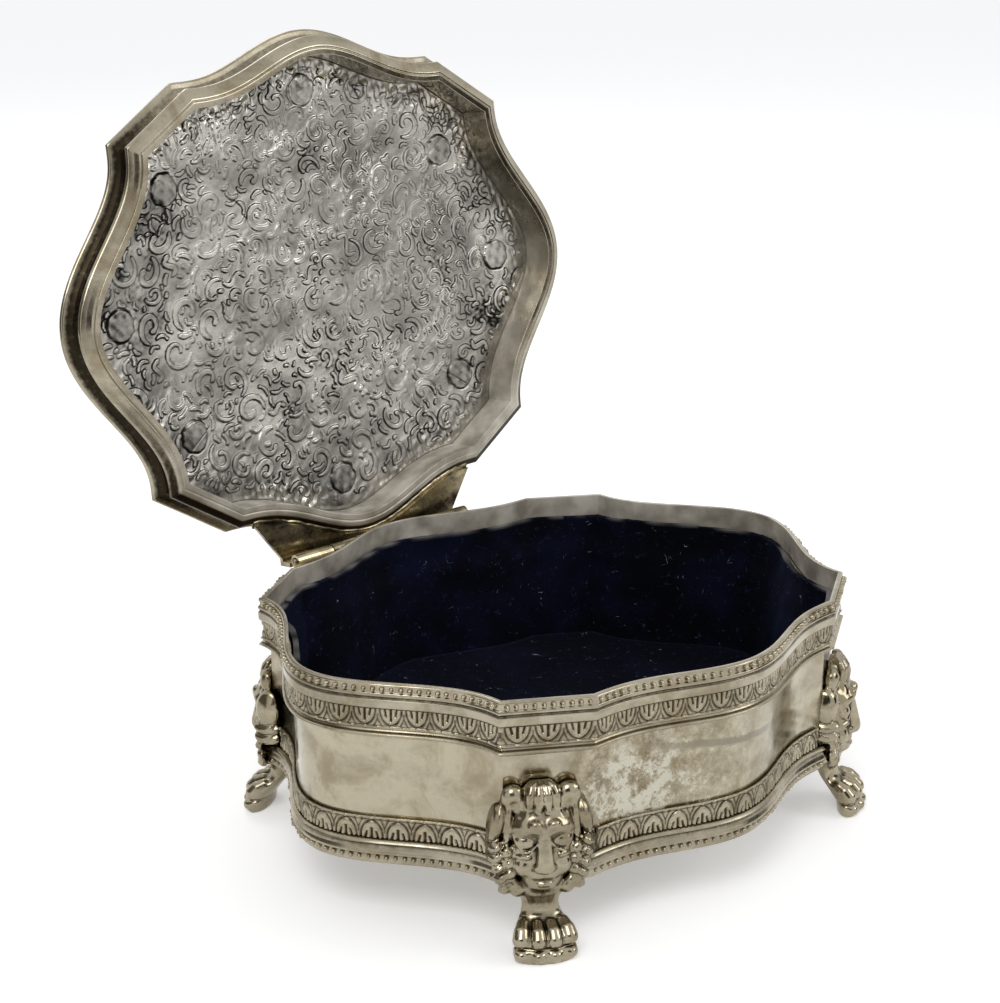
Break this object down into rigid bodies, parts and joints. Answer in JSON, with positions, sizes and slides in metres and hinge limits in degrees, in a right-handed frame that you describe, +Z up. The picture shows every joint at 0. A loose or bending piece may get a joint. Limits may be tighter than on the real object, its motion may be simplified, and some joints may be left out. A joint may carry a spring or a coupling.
{
  "type": "trinket box",
  "caption": "Serpentine silver-plated trinket box on lion-mask paw feet, velvet lined, with beaded and gallery borders and a hinged embossed lid standing open.",
  "frame": {"origin": "middle of the base plate's underside, between the feet", "axes": "+Z up, X along the hinge, +Y towards the hinge at the back"},
  "size_m": [0.1434, 0.1451, 0.1639],
  "materials": {
    "plate": "worn silver plate",
    "plate_dark": "tarnished silver plate",
    "panel": "embossed plate, grey tarnish",
    "hinge_steel": "darkened metal",
    "velvet": "cut pile velvet"
  },
  "bodies": {
    "box": {"base_plate": "plate_dark", "body_wall": "plate", "base_moulding": "plate", "rim_frame": "plate", "rim_bead_wire": "plate", "base_bead_wire": "plate", "upper_gallery_strip": "plate_dark", "lower_gallery_right": "plate_dark", "lower_gallery_back": "plate_dark", "lower_gallery_left": "plate_dark", "lower_gallery_front": "plate_dark", "foot_front_left": "plate", "foot_front_right": "plate", "foot_back_left": "plate", "foot_back_right": "plate", "hinge_box_leaf": "hinge_steel", "hinge_pin": "hinge_steel", "lining_back": "velvet", "lining_left": "velvet", "lining_front": "velvet", "lining_right_front": "velvet", "lining_right_back": "velvet", "lining_floor_pad": "velvet"},
    "lid": {"lid_frame": "plate", "lid_panel": "panel", "hinge_lid_leaf": "hinge_steel"}
  },
  "joints": [
    {"name": "lid_hinge", "type": "hinge", "parent": "box", "child": "lid", "pos_m": [0, 0.0586, 0.0326], "axis": [1, 0, 0], "range_deg": [0, 97.5]}
  ]
}
